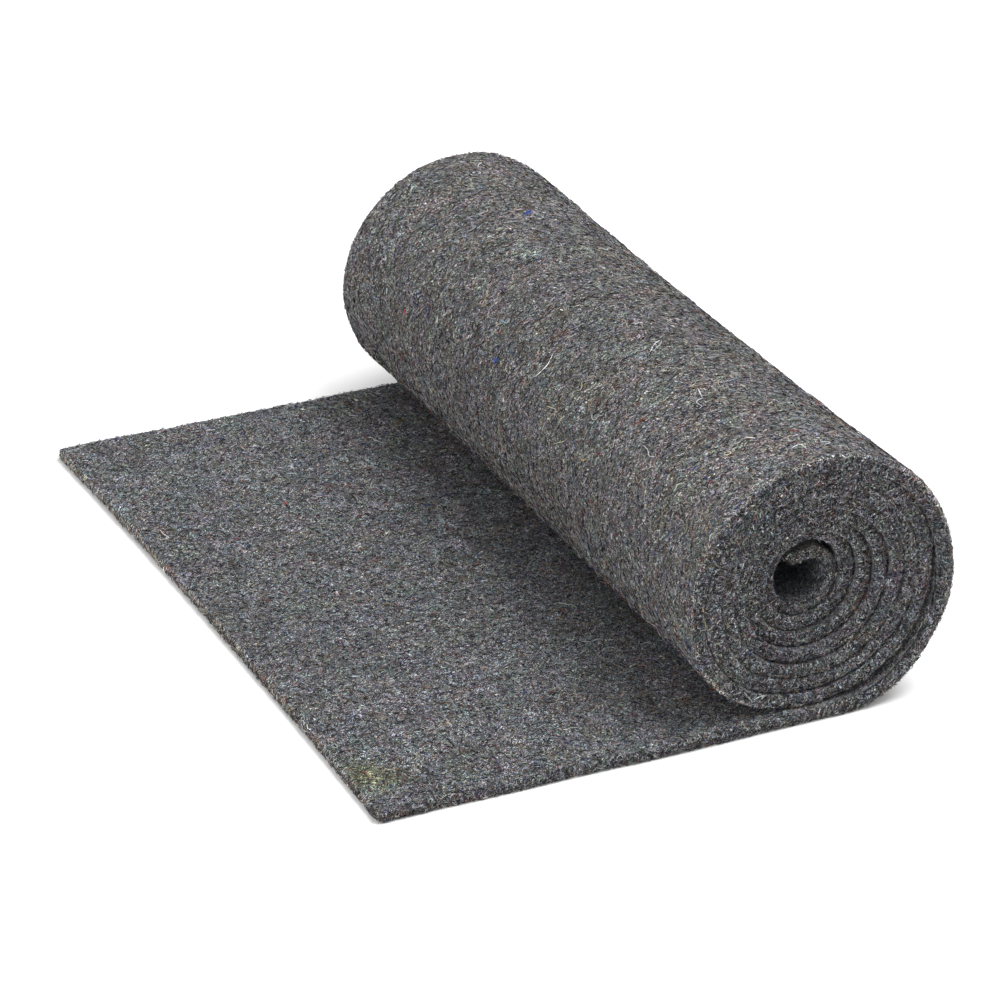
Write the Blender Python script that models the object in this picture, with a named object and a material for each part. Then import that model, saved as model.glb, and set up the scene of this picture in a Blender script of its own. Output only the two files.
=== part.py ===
"""Roll of thick grey felt, partly unrolled: one sheet wound into a hollow roll, with its loose end flat on the floor.

Metres, +Z up. The sheet runs along X from the loose edge to the roll, and the roll lies along Y with its dished end
towards -Y. The origin is on the floor, at the middle of the object's footprint.
"""
import bpy
import numpy as np

# The sheet
SHEET_WIDTH = 0.500
THICKNESS = 0.0074
EDGE_ROUND = 0.0020       # rounding of the cut edges
CORNER_ROUND = 0.0040     # rounding of the sheet's corners, seen from above
TAIL = 0.2815             # flat run, from the loose edge to under the roll's middle
EDGE_HOLLOW = 0.0036      # how far the loose edge curves in at its middle
UNEVEN = 0.0006           # how far the cut edges wander from straight

# The roll, at its near end (-Y) and its far end (+Y): the near end is a little wider and leans to the left
PITCH = 0.00806           # one turn's step inwards
NEAR_AXIS_HEIGHT, FAR_AXIS_HEIGHT = 0.0830, 0.0802
NEAR_AXIS_SHIFT = -0.0028
WAIST = 0.0013            # how much less the radius is midway along
FLARE_LOST = 0.6          # share of the near end's extra width that is gone by the core
SLACK_KEPT = 0.70         # share of a turn's slack that the next turn in still has
TURNS = 7.64

# Vertices along and across the sheet
STATIONS_PER_TURN = 36
TAIL_STATIONS = 8
COLUMNS = 6

# How loose a turn lies, by the angle round it from the underside
SLACK = {
    "degrees": (0, 45, 90, 180, 270, 300, 325, 345, 360),
    "out": (0, 0.0018, 0.0030, 0.0046, 0.0066, 0.0072, 0.0050, 0.0014, 0),
}
# The floor keeps the first part of the outer turn flat, so there it stands off the turn inside it
FLAT_SPOT = {
    "degrees": (0, 10, 20, 32, 50, 75, 110, 150),
    "out": (0, 0.00125, 0.0036, 0.0044, 0.0036, 0.0021, 0.0006, 0),
}
# The free end inside the hollow core drops away from the turn round it
FREE_END = {
    "turn": (7.16, 7.26, 7.38, 7.50, 7.64),
    "in": (0, 0.0006, 0.0040, 0.0074, 0.0052),
}
# How far the sheet's edges have crept along the roll: this dishes the near end and pushes the core out at the far end
CREEP = {
    "turn": (0, 0.20, 0.35, 0.60, 1.0, 2.0, 3.0, 4.0, 5.0, 6.0, 7.0, 7.64),
    "near": (0, 0.0006, 0.0040, 0.0062, 0.0064, 0.0074, 0.0092, 0.0124, 0.0167, 0.0210, 0.0256, 0.0286),
    "far": (0, 0.0002, 0.0008, 0.0018, 0.0032, 0.0050, 0.0074, 0.0108, 0.0152, 0.0196, 0.0244, 0.0274),
}


def smooth(table, key, column, at):
    """The table's column at the given keys, on a curve with no overshoot that is level at each peak."""
    x, y = np.array(table[key], float), np.array(table[column], float)
    step = np.diff(y) / np.diff(x)
    slope = np.zeros(len(x))
    steady = step[:-1] * step[1:] > 0
    slope[1:-1][steady] = 2 * (step[:-1] * step[1:])[steady] / (step[:-1] + step[1:])[steady]
    at = np.clip(at, x[0], x[-1])
    i = np.clip(np.searchsorted(x, at, side="right") - 1, 0, len(x) - 2)
    span = x[i + 1] - x[i]
    t = (at - x[i]) / span
    from_values = y[i] + (y[i + 1] - y[i]) * t * t * (3 - 2 * t)
    from_slopes = span * t * (1 - t) * (slope[i] * (1 - t) - slope[i + 1] * t)
    return from_values + from_slopes


def middle_line(turn, across):
    """X and Z of the sheet's middle. Turn runs from -1 at the loose edge to 0 where the flat tail starts to wind."""
    near = (1 - across) ** 2
    height = FAR_AXIS_HEIGHT + near * (NEAR_AXIS_HEIGHT - FAR_AXIS_HEIGHT) - WAIST * np.sin(np.pi * across)
    axis = near * NEAR_AXIS_SHIFT

    hollow = EDGE_HOLLOW * (1 - (2 * across - 1) ** 2) * np.clip(-2.5 * turn - 1.5, 0, 1) ** 2
    flat_x = axis + turn * (TAIL + axis) + hollow

    wound = np.maximum(turn, 0)
    degrees = 360 * (wound % 1)
    radius = height - THICKNESS / 2 - (PITCH + FLARE_LOST * (height - FAR_AXIS_HEIGHT) / TURNS) * wound
    radius += smooth(SLACK, "degrees", "out", degrees) * SLACK_KEPT ** np.floor(wound)
    radius += np.where(wound < 1, smooth(FLAT_SPOT, "degrees", "out", degrees), 0)
    radius -= smooth(FREE_END, "turn", "in", wound)
    angle = 2 * np.pi * wound
    x = np.where(turn < 0, flat_x, axis + radius * np.sin(angle))
    z = np.where(turn < 0, THICKNESS / 2, height - radius * np.cos(angle))
    return x, z


def edges(turn, run):
    """Y of the sheet's near and far edge, where run is the length along the sheet."""
    near = -SHEET_WIDTH / 2 + smooth(CREEP, "turn", "near", np.maximum(turn, 0))
    far = SHEET_WIDTH / 2 + smooth(CREEP, "turn", "far", np.maximum(turn, 0))
    near = near + UNEVEN * (np.sin(21 * run + 0.6) + 0.5 * np.sin(58 * run))
    far = far + UNEVEN * (np.sin(17 * run + 2.0) + 0.5 * np.sin(49 * run + 1.0))
    return near, far


def stations():
    """Turn at each station along the sheet, with close ones where the two ends are rounded."""
    rounded = np.array([0, 0.25, 0.6, 1.0]) * CORNER_ROUND
    tail = np.concatenate([-1 + rounded / TAIL, np.linspace(-1, 0, TAIL_STATIONS + 1)[1:-1]])
    wound = np.arange(0, TURNS - 0.4 / STATIONS_PER_TURN, 1 / STATIONS_PER_TURN)
    last = TURNS - rounded[:2][::-1] / 0.09
    return np.concatenate([tail, wound[wound < last[0] - 0.005], last])


def section():
    """Points round the sheet's cut section: share of the way across, distance in from the edge, share of thickness."""
    share = np.linspace(0, 1, COLUMNS)
    inset = np.zeros(COLUMNS)
    inset[0], inset[-1] = EDGE_ROUND, -EDGE_ROUND
    sides = np.column_stack([share, inset, np.full(COLUMNS, 0.5)])
    far_edge = [(1, 0, 0.2), (1, 0, -0.2)]
    near_edge = [(0, 0, -0.2), (0, 0, 0.2)]
    return np.concatenate([sides, far_edge, (sides * (1, 1, -1))[::-1], near_edge])


def sheet_vertices():
    turn = stations()[:, None]
    share, inset, depth = section().T
    x, z = middle_line(turn, share)
    run = np.concatenate([[0], np.cumsum(np.hypot(np.diff(x[:, 0]), np.diff(z[:, 0])))])
    near, far = edges(turn, run[:, None])

    # Corners and ends: drawn in along the edge, and thinner at the very end
    to_end = np.minimum(run, run[-1] - run)[:, None]
    left = np.clip(CORNER_ROUND - to_end, 0, CORNER_ROUND)
    drawn_in = CORNER_ROUND - np.sqrt(CORNER_ROUND**2 - left**2)
    thin = np.where(to_end < 1e-9, 0.45, 1.0)
    y = near + share * (far - near) + inset + drawn_in * (1 - 2 * share)

    # Outwards from the roll, which on the flat tail is downwards
    along = np.stack([np.gradient(x, axis=0), np.gradient(z, axis=0)])
    along[:, turn[:, 0] < 0] = np.array([1, 0])[:, None, None]
    along /= np.linalg.norm(along, axis=0)
    out = depth * THICKNESS * thin
    z = np.maximum(z - along[0] * out, 0)
    return np.stack([x + along[1] * out, y, z], axis=-1)


def sheet_faces(rows, ring):
    faces = [
        (r * ring + i, r * ring + (i + 1) % ring, (r + 1) * ring + (i + 1) % ring, (r + 1) * ring + i)
        for r in range(rows - 1)
        for i in range(ring)
    ]
    half = COLUMNS
    for first, flip in ((0, False), ((rows - 1) * ring, True)):
        # The cap pairs each vertex on one side of the sheet with the one facing it
        lower = [first + i for i in range(half)]
        upper = [first + 2 * half + 1 - i for i in range(half)]
        cap = [(lower[i], upper[i], upper[i + 1], lower[i + 1]) for i in range(half - 1)]
        cap.append((lower[-1], upper[-1], first + half + 1, first + half))
        cap.append((first + ring - 1, first + ring - 2, upper[0], lower[0]))
        faces += [face[::-1] if flip else face for face in cap]
    return faces


def felt_material():
    material = bpy.data.materials.new("grey_felt")
    material.use_nodes = True
    shader = material.node_tree.nodes["Principled BSDF"]
    shader.inputs["Base Color"].default_value = (0.100, 0.102, 0.108, 1)
    shader.inputs["Roughness"].default_value = 0.95
    return material


for old in list(bpy.data.objects):
    bpy.data.objects.remove(old)

points = sheet_vertices()
rows, ring = points.shape[:2]
points = points.reshape(-1, 3)
low, high = points.min(axis=0), points.max(axis=0)
points -= ((low[0] + high[0]) / 2, (low[1] + high[1]) / 2, low[2])

mesh = bpy.data.meshes.new("felt_roll")
mesh.from_pydata(points.tolist(), [], sheet_faces(rows, ring))
mesh.materials.append(felt_material())
mesh.polygons.foreach_set("use_smooth", [True] * len(mesh.polygons))
felt_roll = bpy.data.objects.new("felt_roll", mesh)
bpy.context.scene.collection.objects.link(felt_roll)
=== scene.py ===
"""Looks of the partly unrolled roll of grey felt: the sheet with its uneven surface, and the fibres on it.

The sheet is wound on the same curves as the solid model. Short fibres and stray hairs are scattered on it by
Geometry Nodes, and the hairs that stand out are placed one by one from a list. Metres, +Z up. The dished end
of the roll is at -Y and faces the camera.
"""
import math

import bpy
import numpy as np
from mathutils import Matrix, Vector


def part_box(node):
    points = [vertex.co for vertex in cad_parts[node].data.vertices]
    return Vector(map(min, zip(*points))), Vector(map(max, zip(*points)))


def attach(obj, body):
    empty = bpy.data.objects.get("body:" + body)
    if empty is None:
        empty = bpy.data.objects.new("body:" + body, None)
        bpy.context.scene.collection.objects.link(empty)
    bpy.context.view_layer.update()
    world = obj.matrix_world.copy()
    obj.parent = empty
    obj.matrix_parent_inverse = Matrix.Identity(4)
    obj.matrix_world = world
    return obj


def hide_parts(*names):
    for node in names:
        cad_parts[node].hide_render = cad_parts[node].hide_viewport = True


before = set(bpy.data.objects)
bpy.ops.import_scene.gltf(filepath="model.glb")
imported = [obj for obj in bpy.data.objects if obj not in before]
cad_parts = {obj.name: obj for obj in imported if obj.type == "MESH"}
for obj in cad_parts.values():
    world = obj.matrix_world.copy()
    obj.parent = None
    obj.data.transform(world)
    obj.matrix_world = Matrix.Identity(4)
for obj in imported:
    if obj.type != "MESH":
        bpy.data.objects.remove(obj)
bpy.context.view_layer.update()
roll_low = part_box("felt_roll")[0]

# The sheet
SHEET_WIDTH = 0.500
THICKNESS = 0.0074
EDGE_ROUND = 0.0020
CORNER_ROUND = 0.0040
TAIL = 0.2815             # flat run, from the loose edge to under the roll's middle
EDGE_HOLLOW = 0.0036      # how far the loose edge curves in at its middle
UNEVEN = 0.0006           # how far the cut edges wander from straight

# The roll, at its near end (-Y) and its far end (+Y)
PITCH = 0.00806           # one turn's step inwards
NEAR_AXIS_HEIGHT, FAR_AXIS_HEIGHT = 0.0830, 0.0802
NEAR_AXIS_SHIFT = -0.0028
WAIST = 0.0013            # how much less the radius is midway along
FLARE_LOST = 0.6          # share of the near end's extra width that is gone by the core
SLACK_KEPT = 0.70         # share of a turn's slack that the next turn in still has
TURNS = 7.64
CORE_WAY_ROUND = 0.09     # length of the innermost turn
# How loose a turn lies, by the angle round it from the underside
SLACK = {
    "degrees": (0, 45, 90, 180, 270, 300, 325, 345, 360),
    "out": (0, 0.0018, 0.0030, 0.0046, 0.0066, 0.0072, 0.0050, 0.0014, 0),
}
# The floor keeps the first part of the outer turn flat
FLAT_SPOT = {
    "degrees": (0, 10, 20, 32, 50, 75, 110, 150),
    "out": (0, 0.00125, 0.0036, 0.0044, 0.0036, 0.0021, 0.0006, 0),
}
# The free end inside the hollow core drops away from the turn round it
FREE_END = {
    "turn": (7.16, 7.26, 7.38, 7.50, 7.64),
    "in": (0, 0.0006, 0.0040, 0.0074, 0.0052),
}
# How far the sheet's edges have crept along the roll
CREEP = {
    "turn": (0, 0.20, 0.35, 0.60, 1.0, 2.0, 3.0, 4.0, 5.0, 6.0, 7.0, 7.64),
    "near": (0, 0.0006, 0.0040, 0.0062, 0.0064, 0.0074, 0.0092, 0.0124, 0.0167, 0.0210, 0.0256, 0.0286),
    "far": (0, 0.0002, 0.0008, 0.0018, 0.0032, 0.0050, 0.0074, 0.0108, 0.0152, 0.0196, 0.0244, 0.0274),
}

# Vertices of the sheet
ROW_STEP = 0.0040         # along the tail and the outer turn
INNER_ROWS = 40           # a turn, further in
COLUMNS = 80              # across, closer together near the two cut edges
COLUMN_CROWDING = 0.6
EDGE_DEPTHS = (0.44, 0.28, 0.10)   # of the thickness, on the rounded cut edges
END_THINNING = 0.55       # how much thinner the strip is at its very ends, as a share
LUMPS = 0.00022           # height of the uneven surface
LUMP_SIZES = (0.014, 0.060)
CUT_LUMPS = 0.7 * LUMPS   # and of the cut edges
CUT_LUMP_SIZES = (0.006, 0.020)

# The fluffed ends of the roll, by the angle from the underside: share of the gap to the next turn in that is
# filled, how round the cut edges are next to those of the tail, and how far the outer turn's slopes inwards
FLUFFED = {
    "degrees": (0, 40, 80, 110, 150, 300, 330, 360),
    "filled": (0.76, 0.80, 1.06, 1.16, 1.15, 1.12, 1.02, 0.76),
    "round": (1.15, 1.15, 0.95, 0.80, 0.45, 0.25, 0.70, 1.15),
    "sloped": (0, 0.0016, 0.0038, 0.0034, 0.0012, 0, 0, 0),
}
WIDE_GAP = 0.0040         # a gap this wide stays open
PART_CLOSED = 0.0015      # and one this much narrower closes fully
SWELL_REACH = 0.008       # how soon the swelling fades, from the cut edge inwards


def smooth(table, key, column, at):
    """The table's column at the given keys, on a curve without overshoot."""
    x, y = np.array(table[key], float), np.array(table[column], float)
    step = np.diff(y) / np.diff(x)
    slope = np.zeros(len(x))
    steady = step[:-1] * step[1:] > 0
    slope[1:-1][steady] = 2 * (step[:-1] * step[1:])[steady] / (step[:-1] + step[1:])[steady]
    at = np.clip(at, x[0], x[-1])
    i = np.clip(np.searchsorted(x, at, side="right") - 1, 0, len(x) - 2)
    span = x[i + 1] - x[i]
    t = (at - x[i]) / span
    from_values = y[i] + (y[i + 1] - y[i]) * t * t * (3 - 2 * t)
    from_slopes = span * t * (1 - t) * (slope[i] * (1 - t) - slope[i + 1] * t)
    return from_values + from_slopes


def roll_axis(across):
    """X and height of the roll's axis."""
    near = (1 - across) ** 2
    height = FAR_AXIS_HEIGHT + near * (NEAR_AXIS_HEIGHT - FAR_AXIS_HEIGHT)
    return near * NEAR_AXIS_SHIFT, height - WAIST * np.sin(np.pi * across)


def wound_radius(wound, height):
    """From the roll's axis to the middle of the sheet, so many turns in from the outside."""
    degrees = 360 * (wound % 1)
    radius = height - THICKNESS / 2 - (PITCH + FLARE_LOST * (height - FAR_AXIS_HEIGHT) / TURNS) * wound
    radius += smooth(SLACK, "degrees", "out", degrees) * SLACK_KEPT ** np.floor(wound)
    radius += np.where(wound < 1, smooth(FLAT_SPOT, "degrees", "out", degrees), 0)
    return radius - smooth(FREE_END, "turn", "in", wound)


def middle_line(turn, across):
    """X and Z of the sheet's middle. Turn is -1 at the loose edge and 0 where the tail starts to wind."""
    axis, height = roll_axis(across)
    hollow = EDGE_HOLLOW * (1 - (2 * across - 1) ** 2) * np.clip(-2.5 * turn - 1.5, 0, 1) ** 2
    flat_x = axis + turn * (TAIL + axis) + hollow

    wound = np.maximum(turn, 0)
    radius = wound_radius(wound, height)
    angle = 2 * np.pi * wound
    x = np.where(turn < 0, flat_x, axis + radius * np.sin(angle))
    z = np.where(turn < 0, THICKNESS / 2, height - radius * np.cos(angle))
    return x, z


def edges(turn, run):
    """Y of the sheet's near and far edge, where run is the length along the sheet."""
    near = -SHEET_WIDTH / 2 + smooth(CREEP, "turn", "near", np.maximum(turn, 0))
    far = SHEET_WIDTH / 2 + smooth(CREEP, "turn", "far", np.maximum(turn, 0))
    near = near + UNEVEN * (np.sin(21 * run + 0.6) + 0.5 * np.sin(58 * run))
    far = far + UNEVEN * (np.sin(17 * run + 2.0) + 0.5 * np.sin(49 * run + 1.0))
    return near, far


def stations():
    """Turn at each row of vertices along the sheet, closer together where its two ends are rounded."""
    rounded = CORNER_ROUND * (1 - np.cos(np.linspace(0, np.pi / 2, 6)))
    tail = np.concatenate([rounded, np.arange(CORNER_ROUND + ROW_STEP, TAIL, ROW_STEP)]) / TAIL - 1
    outer = np.arange(0, 1, ROW_STEP / (2 * np.pi * FAR_AXIS_HEIGHT))
    last = TURNS - rounded[::-1] / CORE_WAY_ROUND
    inner = np.arange(1, last[0] - 0.01, 1 / INNER_ROWS)
    return np.concatenate([tail, outer, inner, last])


def section():
    """Points round the cut section: share of the width, distance in from the edge, share of the thickness."""
    even = np.linspace(0, 1, COLUMNS)
    share = (1 - COLUMN_CROWDING) * even + COLUMN_CROWDING * (1 - np.cos(np.pi * even)) / 2
    inset = EDGE_ROUND * (1 - 2 * share) * ((share == 0) | (share == 1))
    sides = np.column_stack([share, inset, np.full(COLUMNS, 0.5)])
    depth = np.array([*EDGE_DEPTHS, *(-d for d in EDGE_DEPTHS[::-1])])
    from_corner = np.clip(1 - (0.5 - abs(depth)) * THICKNESS / EDGE_ROUND, 0, 1)
    bevel = EDGE_ROUND * (1 - np.sqrt(1 - from_corner**2))
    far_edge = np.column_stack([np.ones_like(depth), -bevel, depth])
    near_edge = np.column_stack([np.zeros_like(depth), bevel, -depth])
    return np.concatenate([sides, far_edge, (sides * (1, 1, -1))[::-1], near_edge])


def swelling(turn, across):
    """How much thicker the roll's fluffed ends are, so that each turn nearly meets the next one in."""
    wound = np.clip(turn, 0, TURNS - 1)
    height = roll_axis(across)[1]
    gap = wound_radius(wound, height) - wound_radius(wound + 1, height) - THICKNESS
    filled = smooth(FLUFFED, "degrees", "filled", 360 * (wound % 1)) * gap
    filled *= np.clip((WIDE_GAP - gap) / PART_CLOSED, 0, 1)
    filled *= np.clip((TURNS - 1 - turn) / 0.05, 0, 1) * (turn > 0)
    to_end = SHEET_WIDTH * np.minimum(across, 1 - across)
    return np.maximum(filled, 0) * np.exp(-to_end / SWELL_REACH)


def waves(place, sizes, count, seed):
    """A smooth random field of mean 0 and deviation 1, summed from waves between two lengths."""
    random = np.random.default_rng(seed)
    length = np.exp(random.uniform(*np.log(sizes), count))
    direction = random.normal(size=(count, 3))
    direction *= (2 * np.pi / length / np.linalg.norm(direction, axis=1))[:, None]
    phase = random.uniform(0, 2 * np.pi, count)
    weight = length / np.sqrt((length**2).mean())
    total = sum(w * np.sin(place @ d + p) for w, d, p in zip(weight, direction, phase))
    return total / math.sqrt(count / 2)


def sheet_points():
    """Place, place in the unrolled sheet, turn, and share of thickness of each vertex, by row and column."""
    turn = stations()[:, None]
    share, inset, depth = section().T
    x, z = middle_line(turn, share)
    run = np.concatenate([[0], np.cumsum(np.hypot(np.diff(x[:, 0]), np.diff(z[:, 0])))])
    near, far = edges(turn, run[:, None])

    # Corners and ends: drawn in along the edge, and thinner at the very end
    to_end = np.minimum(run, run[-1] - run)[:, None]
    left = np.clip(CORNER_ROUND - to_end, 0, CORNER_ROUND)
    drawn_in = CORNER_ROUND - np.sqrt(CORNER_ROUND**2 - left**2)
    thin = 1 - END_THINNING * (1 - np.clip(to_end / EDGE_ROUND, 0, 1)) ** 2

    # The roll's own cut edges: rounder or sharper, and the outer turn's near one slopes inwards
    degrees = 360 * (turn % 1)
    inset = inset * np.where(turn > 0, smooth(FLUFFED, "degrees", "round", degrees), 1)
    sloped = smooth(FLUFFED, "degrees", "sloped", degrees) * ((turn > 0) & (turn < 1))
    inset = inset + sloped * (share == 0) * np.clip((0.1 - depth) / 0.6, 0, 1)
    y = near + share * (far - near) + inset + drawn_in * (1 - 2 * share)

    # Along the sheet, and so outwards from the roll, which on the flat tail is downwards
    along = np.stack([np.gradient(x, axis=0), np.gradient(z, axis=0)])
    along[:, turn[:, 0] < 0] = np.array([1, 0])[:, None, None]
    along /= np.linalg.norm(along, axis=0)

    unrolled = np.stack(np.broadcast_arrays(run[:, None], y, depth * THICKNESS), axis=-1)
    lumps = LUMPS * waves(unrolled * (1, 1, 4), LUMP_SIZES, 70, seed=3)
    cut_lumps = CUT_LUMPS * waves(unrolled, CUT_LUMP_SIZES, 50, seed=4)
    out = depth * THICKNESS * thin + lumps * np.sign(depth)
    out = out - swelling(turn, share) * np.clip(-2 * depth, 0, 1)
    y = y + np.where(abs(depth) < 0.5, np.where(share < 0.5, -1, 1) * cut_lumps, 0)
    z = np.maximum(z - along[0] * out, 0)
    place = np.stack([x + along[1] * out, y, z], axis=-1)
    place += (roll_low.x + TAIL, roll_low.y - near.min(), 0)
    return place, unrolled, np.broadcast_to(turn, x.shape), np.broadcast_to(depth, x.shape)


def sheet_faces(rows, ring):
    """Quads round the ring from row to row, and the caps that close the two ends of the strip."""
    faces = [
        (r * ring + i, r * ring + (i + 1) % ring, (r + 1) * ring + (i + 1) % ring, (r + 1) * ring + i)
        for r in range(rows - 1)
        for i in range(ring)
    ]
    edge = len(EDGE_DEPTHS) * 2
    for first, flip in ((0, False), ((rows - 1) * ring, True)):
        lower = [first + i for i in range(COLUMNS)]
        upper = [first + 2 * COLUMNS + edge - 1 - i for i in range(COLUMNS)]
        cap = [(lower[i], upper[i], upper[i + 1], lower[i + 1]) for i in range(COLUMNS - 1)]
        far_side = [lower[-1], *(first + COLUMNS + i for i in range(edge)), upper[-1]]
        near_side = [upper[0], *(first + 2 * COLUMNS + edge + i for i in range(edge)), lower[0]]
        cap += [tuple(far_side[::-1]), tuple(near_side[::-1])]
        faces += [face[::-1] if flip else face for face in cap]
    return faces


def put_in_scene(name, data):
    """A new object of that name."""
    thing = bpy.data.objects.new(name, data)
    bpy.context.scene.collection.objects.link(thing)
    return thing


def add_attribute(mesh, name, values):
    """One number, or three, for each of the mesh's vertices."""
    values = np.ascontiguousarray(values, np.float32).ravel()
    kind, field = ("FLOAT", "value") if len(values) == len(mesh.vertices) else ("FLOAT_VECTOR", "vector")
    mesh.attributes.new(name, kind, "POINT").data.foreach_set(field, values)


def sheet_map(mesh, unrolled, turn, depth):
    """The map that the sheet's colours are baked into: large where the felt shows, small where wound."""
    run, ring, turns = unrolled[:, 0, 0], unrolled.shape[1], turn[:, 0]
    edge = len(EDGE_DEPTHS) * 2 + 1
    outside = np.arange(COLUMNS - 1)
    far_cut = np.arange(COLUMNS - 1, COLUMNS - 1 + edge)
    inside, near_cut = outside + COLUMNS - 1 + edge, far_cut + COLUMNS - 1 + edge
    share, over = section()[:COLUMNS, 0], np.arange(1, edge + 1) / edge
    across = np.concatenate([share, 1 + over[:-1], 3 - share[::-1], 3 + over])

    # Columns, first and last value, what the value is, and the left, right, bottom and top of the rectangle
    rectangles = [
        (outside, 0, 1, turns, (0.002, 0.620, 0.002, 0.620)),
        (inside, -1, 0, turns, (0.625, 0.998, 0.002, 0.620)),
        (inside, 6.6, TURNS, turns, (0.002, 0.200, 0.780, 0.998)),
        (outside, -1, 0, turns, (0.205, 0.400, 0.780, 0.998)),
        (inside, 0, 1, turns, (0.405, 0.550, 0.780, 0.998)),
        (inside, 1, 6.6, turns, (0.555, 0.780, 0.780, 0.998)),
        (outside, 1, TURNS, turns, (0.785, 0.998, 0.780, 0.998)),
    ]
    for part in range(4):
        low, high = run[-1] * part / 4, run[-1] * (part + 1) / 4
        near_row = (0.002, 0.998, 0.625 + 0.020 * part, 0.643 + 0.020 * part)
        far_row = (0.002, 0.998, 0.706 + 0.015 * part, 0.719 + 0.015 * part)
        rectangles.append((near_cut, low, high, run, near_row))
        rectangles.append((far_cut, low, high, run, far_row))

    uv = np.zeros((len(mesh.loops), 2))
    for columns, low, high, value, (left, right, bottom, top) in rectangles:
        middle = (value[:-1] + value[1:]) / 2
        rows = np.flatnonzero((middle >= low) & (middle <= high))
        start, end = run[rows[0]], run[rows[-1] + 1]
        u = left + (right - left) * (run - start) / (end - start)
        first = across[columns[0]]
        v = top - (top - bottom) * (across - first) / (across[columns[-1] + 1] - first)
        loops = 4 * (rows[:, None] * ring + columns)
        for corner, (row, column) in enumerate(((0, 0), (0, 1), (1, 1), (1, 0))):
            uv[loops + corner, 0] = u[rows + row][:, None]
            uv[loops + corner, 1] = v[columns + column]

    # The caps at the two ends of the strip, laid side by side
    caps = 4 * (len(run) - 1) * ring
    vertex = np.empty(len(mesh.loops), int)
    mesh.loops.foreach_get("vertex_index", vertex)
    flat, deep, inner = (a.reshape(-1)[vertex[caps:]] for a in (unrolled[..., 1], depth, turn > 0))
    uv[caps:, 0] = 0.25 + (flat - 0.02 * inner) * 0.94 + 0.5 * inner
    uv[caps:, 1] = 0.772 + 0.010 * deep * np.where(inner, -1, 1)
    mesh.uv_layers.new(name="OFBake").data.foreach_set("uv", uv.ravel())


def make_sheet():
    place, unrolled, turn, depth = sheet_points()
    rows, ring = place.shape[:2]
    mesh = bpy.data.meshes.new("felt_sheet")
    mesh.from_pydata(place.reshape(-1, 3).tolist(), [], sheet_faces(rows, ring))
    mesh.polygons.foreach_set("use_smooth", [True] * len(mesh.polygons))

    sheet_map(mesh, unrolled, turn, depth)

    # What the felt's pattern reads: the place in the sheet laid flat, whether it is cut, and the painted
    # light and shade:
    # 1 for a painted highlight along the near end's outer edge, more for painted light on the loose edge, and
    # below 0 for painted shade deep in the core
    add_attribute(mesh, "laid_flat", unrolled)
    run, y = unrolled[..., 0], unrolled[..., 1]
    on_cut = (abs(depth) < 0.5) | (run < 1e-6) | (run > run.max() - 1e-6)
    add_attribute(mesh, "cut", on_cut)
    # painted highlight along the near end's outer edge, where the outer turn catches the light
    rim_highlight = (depth > 0.25) & (y < -0.4 * SHEET_WIDTH) & on_cut & (turn > 0.30) & (turn < 0.98)
    # the loose edge, which gets painted light
    loose_end = (run < 1e-3) | (on_cut & (turn < -0.99))
    inwards = np.minimum(y - y.min(axis=1, keepdims=True), y.max(axis=1, keepdims=True) - y)
    # painted shade deep in the hollow core
    core_shade = np.clip((turn - 6.2) / 0.5, 0, 1) * np.clip((inwards - 0.003) / 0.015, 0, 1)
    add_attribute(mesh, "painted_light", rim_highlight + LOOSE_EDGE_PAINTED_LIGHT * loose_end + CORE_PAINTED_SHADE * core_shade)

    # Where fibres grow, as a share of the full number to each square metre
    top = (depth < 0) & ~on_cut
    outside = (depth > 0) & ~on_cut
    tail_top = top * (turn < -0.07)
    outer_turn = outside * (turn > 0.02) * (turn < 1.04)
    core = top * (turn > 6.6) * (y < y.min() + 0.06) * 0.3
    for name, growth in (
        ("fibres_on_tail", tail_top),
        ("fibres_on_left", outer_turn * (turn > 0.40)),
        ("fibres_on_right", outer_turn * (turn <= 0.40)),
        ("fibres_near_cuts", (on_cut + core) * (y < 0)),
        ("fibres_far_cuts", (on_cut + core) * (y >= 0)),
        ("hairs", 0.35 * tail_top + outer_turn * (1 - 1.2 * y) + 0.25 * on_cut),
    ):
        add_attribute(mesh, name, growth)

    return put_in_scene("felt_sheet", mesh)


class Nodes:
    """Adds nodes to a tree, with inputs given by name or place as values or as other nodes' outputs."""

    def __init__(self, tree):
        self.tree = tree

    def add(self, kind, inputs=None, out=0, **settings):
        node = self.tree.nodes.new(kind)
        for name, value in settings.items():
            setattr(node, name, value)
        for key, value in (inputs or {}).items():
            self.put(node.inputs[key], value)
        return node.outputs[out] if out is not None else node

    def put(self, socket, value):
        if isinstance(value, bpy.types.NodeSocket):
            self.tree.links.new(value, socket)
        else:
            socket.default_value = value

    def math(self, operation, a, b=0.0, c=0.0):
        return self.add("ShaderNodeMath", {0: a, 1: b, 2: c}, operation=operation)

    def times(self, a, b):
        return self.math("MULTIPLY", a, b)

    def vector(self, operation, a, b=(0, 0, 0), c=(0, 0, 0)):
        out = "Value" if operation == "LENGTH" else "Vector"
        return self.add("ShaderNodeVectorMath", {0: a, 1: b, 2: c}, out, operation=operation)

    def scaled(self, a, by):
        return self.add("ShaderNodeVectorMath", {0: a, "Scale": by}, operation="SCALE")


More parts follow.
